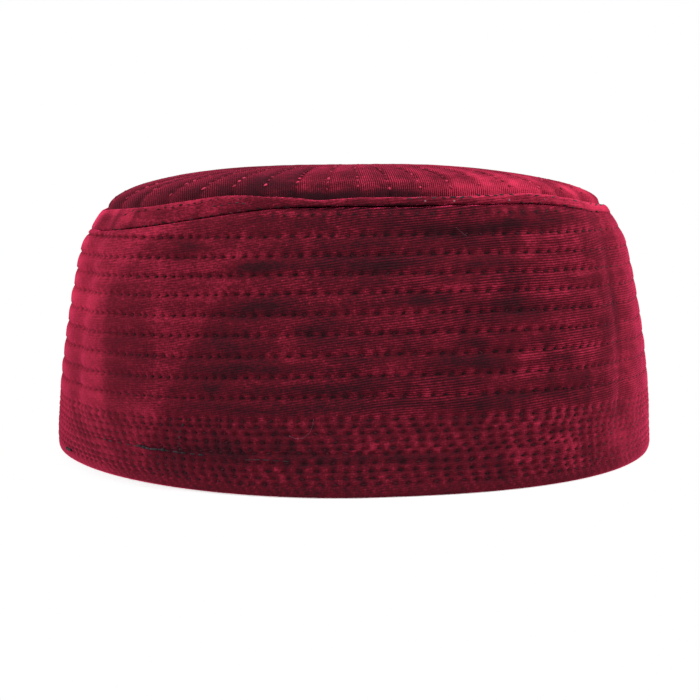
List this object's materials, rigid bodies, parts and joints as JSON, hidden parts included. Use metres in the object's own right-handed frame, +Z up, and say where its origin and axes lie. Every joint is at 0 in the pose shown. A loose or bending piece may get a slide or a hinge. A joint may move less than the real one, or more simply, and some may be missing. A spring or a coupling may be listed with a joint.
{
  "type": "kufi cap",
  "caption": "Low oval brimless cap of quilted ribbed velvet: a sewn side band that leans inward, a shallow domed crown and a welt over their seam.",
  "frame": {"origin": "centre of the cap's bounding box, on the plane that its rim rests on", "axes": "+Z up, +X along the long axis of the oval towards the viewer's right, the front faces -Y"},
  "size_m": [0.2, 0.164, 0.0918],
  "materials": {
    "band_velvet": "quilted burgundy velvet with fine level ribs, matt with a soft sheen",
    "welt_velvet": "folded burgundy velvet, matt with a soft sheen",
    "crown_velvet": "quilted burgundy velvet with fine ribs that run front to back"
  },
  "bodies": {
    "root": {"side_band": "band_velvet", "seam_welt": "welt_velvet", "crown": "crown_velvet"}
  },
  "joints": []
}
